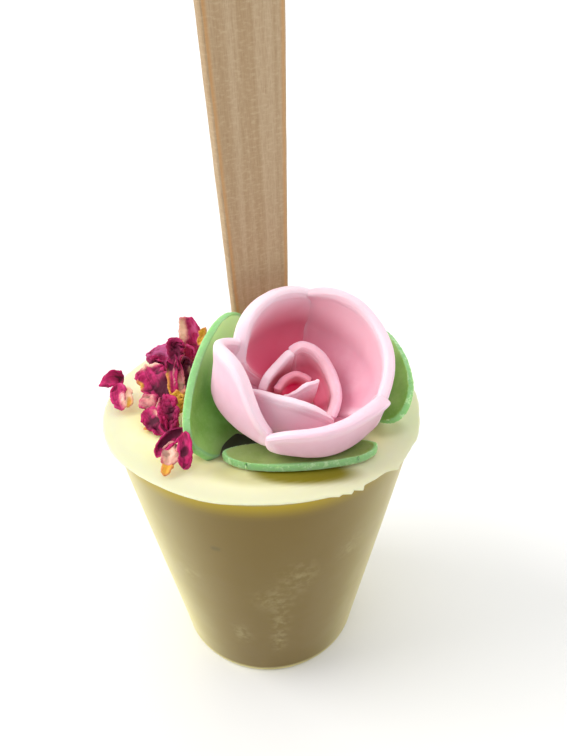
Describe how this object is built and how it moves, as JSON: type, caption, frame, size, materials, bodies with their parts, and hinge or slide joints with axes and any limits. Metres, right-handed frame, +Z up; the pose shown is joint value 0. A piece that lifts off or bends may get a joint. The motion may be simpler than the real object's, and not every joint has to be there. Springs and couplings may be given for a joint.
{
  "type": "hot chocolate stick",
  "caption": "Tapered block of white chocolate on a flat wooden stick that stands in its top, with a pink wafer rose, green wafer leaves and dried rose petals.",
  "frame": {"origin": "centre of the flat foot of the chocolate block", "axes": "+Z up towards the stick's upper end, -Y to the front where the rose is, +X to the right seen from the front"},
  "size_m": [0.053, 0.0514, 0.1244],
  "materials": {
    "white_chocolate": "smooth cast white chocolate, satin",
    "birch_wood": "plain sanded birch, uncoated",
    "pink_wafer": "matt moulded wafer, paler at its rims",
    "green_wafer": "matt moulded wafer, lighter at its edge",
    "dried_petal": "matt, crumpled and veined"
  },
  "bodies": {
    "root": {"chocolate_block": "white_chocolate", "wooden_stick": "birch_wood", "rose_petal_right": "pink_wafer", "rose_petal_back": "pink_wafer", "rose_petal_left": "pink_wafer", "rose_petal_front": "pink_wafer", "rose_bud_right": "pink_wafer", "rose_bud_left": "pink_wafer", "rose_bud_front": "pink_wafer", "rose_heart_back": "pink_wafer", "rose_heart_front": "pink_wafer", "rose_leaf_left": "green_wafer", "rose_leaf_front": "green_wafer", "rose_leaf_right": "green_wafer", "dry_petal_edge": "dried_petal", "dry_petal_tall": "dried_petal", "dry_petal_back": "dried_petal", "dry_petal_broad": "dried_petal", "dry_petal_strip": "dried_petal", "dry_petal_shade": "dried_petal", "dry_petal_pale": "dried_petal", "dry_petal_low": "dried_petal", "dry_petal_arch": "dried_petal"}
  },
  "joints": []
}
